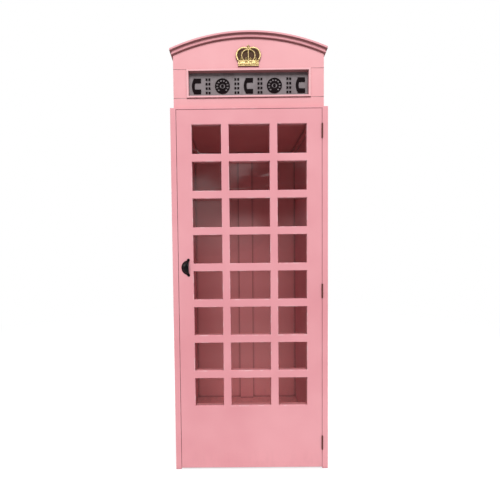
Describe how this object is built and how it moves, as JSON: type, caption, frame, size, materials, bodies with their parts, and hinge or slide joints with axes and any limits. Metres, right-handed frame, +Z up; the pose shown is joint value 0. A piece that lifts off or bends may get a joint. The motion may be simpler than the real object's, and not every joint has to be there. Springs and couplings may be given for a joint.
{
  "type": "telephone booth",
  "caption": "Square framed booth with an arched header, a sign and a crown, and a hinged door glazed in small panes above a kick panel.",
  "frame": {"origin": "on the floor at the centre of the carcase's plan, under the middle floor bearer", "axes": "+Z up, the door faces -Y, +X to the door's hinged side"},
  "size_m": [0.78, 0.805, 2.2],
  "materials": {
    "bare_softwood": "unpainted softwood",
    "bead_paint": "satin pink paint on wood",
    "black_acrylic": "black gloss",
    "black_iron": "black lacquer",
    "board_paint": "satin pink paint on boards",
    "carcase_paint": "satin pink paint on wood",
    "clear_acrylic": "clear glazing with a slight waviness",
    "cornice_paint": "satin pink paint on moulded wood",
    "door_paint": "satin pink paint on wood",
    "gilded_metal": "aged gilding, dark in the recesses",
    "grey_acrylic": "translucent grey sheet",
    "header_paint": "satin pink paint on board",
    "hinge_steel": "steel, dulled and a little rusty",
    "interior_paint": "satin pink paint on board, duller inside",
    "magnet_ferrite": "dull grey",
    "roof_paint": "satin pink paint on bent ply",
    "screw_steel": "zinc-plated steel",
    "sign_frame_paint": "satin pink paint on wood",
    "strike_steel": "zinc-plated steel",
    "white_plastic": "moulded"
  },
  "bodies": {
    "carcase": {"left_front_post": "carcase_paint", "right_front_post": "carcase_paint", "left_back_post": "carcase_paint", "right_back_post": "carcase_paint", "left_top_rail": "carcase_paint", "left_middle_rail": "carcase_paint", "left_bottom_rail": "carcase_paint", "left_wall_boards": "board_paint", "right_top_rail": "carcase_paint", "right_middle_rail": "carcase_paint", "right_bottom_rail": "carcase_paint", "right_wall_boards": "board_paint", "back_top_rail": "carcase_paint", "back_middle_rail": "carcase_paint", "back_bottom_rail": "carcase_paint", "back_upper_panels": "interior_paint", "back_lower_panels": "interior_paint", "back_batten": "interior_paint", "floor_bearers": "bare_softwood", "floor_panel": "interior_paint", "front_head_rail": "interior_paint", "head_strip": "carcase_paint", "door_stops": "interior_paint", "ceiling_cleats": "interior_paint", "header_base": "interior_paint", "header_front": "header_paint", "header_back": "header_paint", "header_left_side": "header_paint", "header_right_side": "header_paint", "roof_ribs": "bare_softwood", "roof_sheet": "roof_paint", "cornice_front": "cornice_paint", "cornice_back": "cornice_paint", "cornice_left": "cornice_paint", "cornice_right": "cornice_paint", "sign_frame": "sign_frame_paint", "sign_panel": "grey_acrylic", "sign_symbols": "black_acrylic", "sign_retainer": "bare_softwood", "crown_emblem": "gilded_metal", "header_screws": "screw_steel", "hinge_post_leaves": "hinge_steel", "hinge_pins": "hinge_steel", "hinge_post_screws": "screw_steel", "catch_bodies": "white_plastic", "catch_magnets": "magnet_ferrite"},
    "door": {"door_hinge_stile": "door_paint", "door_lock_stile": "door_paint", "door_top_rail": "door_paint", "door_kick_panel": "door_paint", "door_cross_bars": "door_paint", "door_upright_bars": "door_paint", "window_panes": "clear_acrylic", "glazing_beads": "bead_paint", "hinge_door_leaves": "hinge_steel", "hinge_door_screws": "screw_steel", "cup_pull": "black_iron", "pull_screws": "black_iron", "catch_strikes": "strike_steel", "strike_screws": "screw_steel"}
  },
  "joints": [
    {"name": "door_hinge", "type": "hinge", "parent": "carcase", "child": "door", "pos_m": [0.361, -0.3938, 0.9], "axis": [0, 0, 1], "range_deg": [0, 175]}
  ]
}
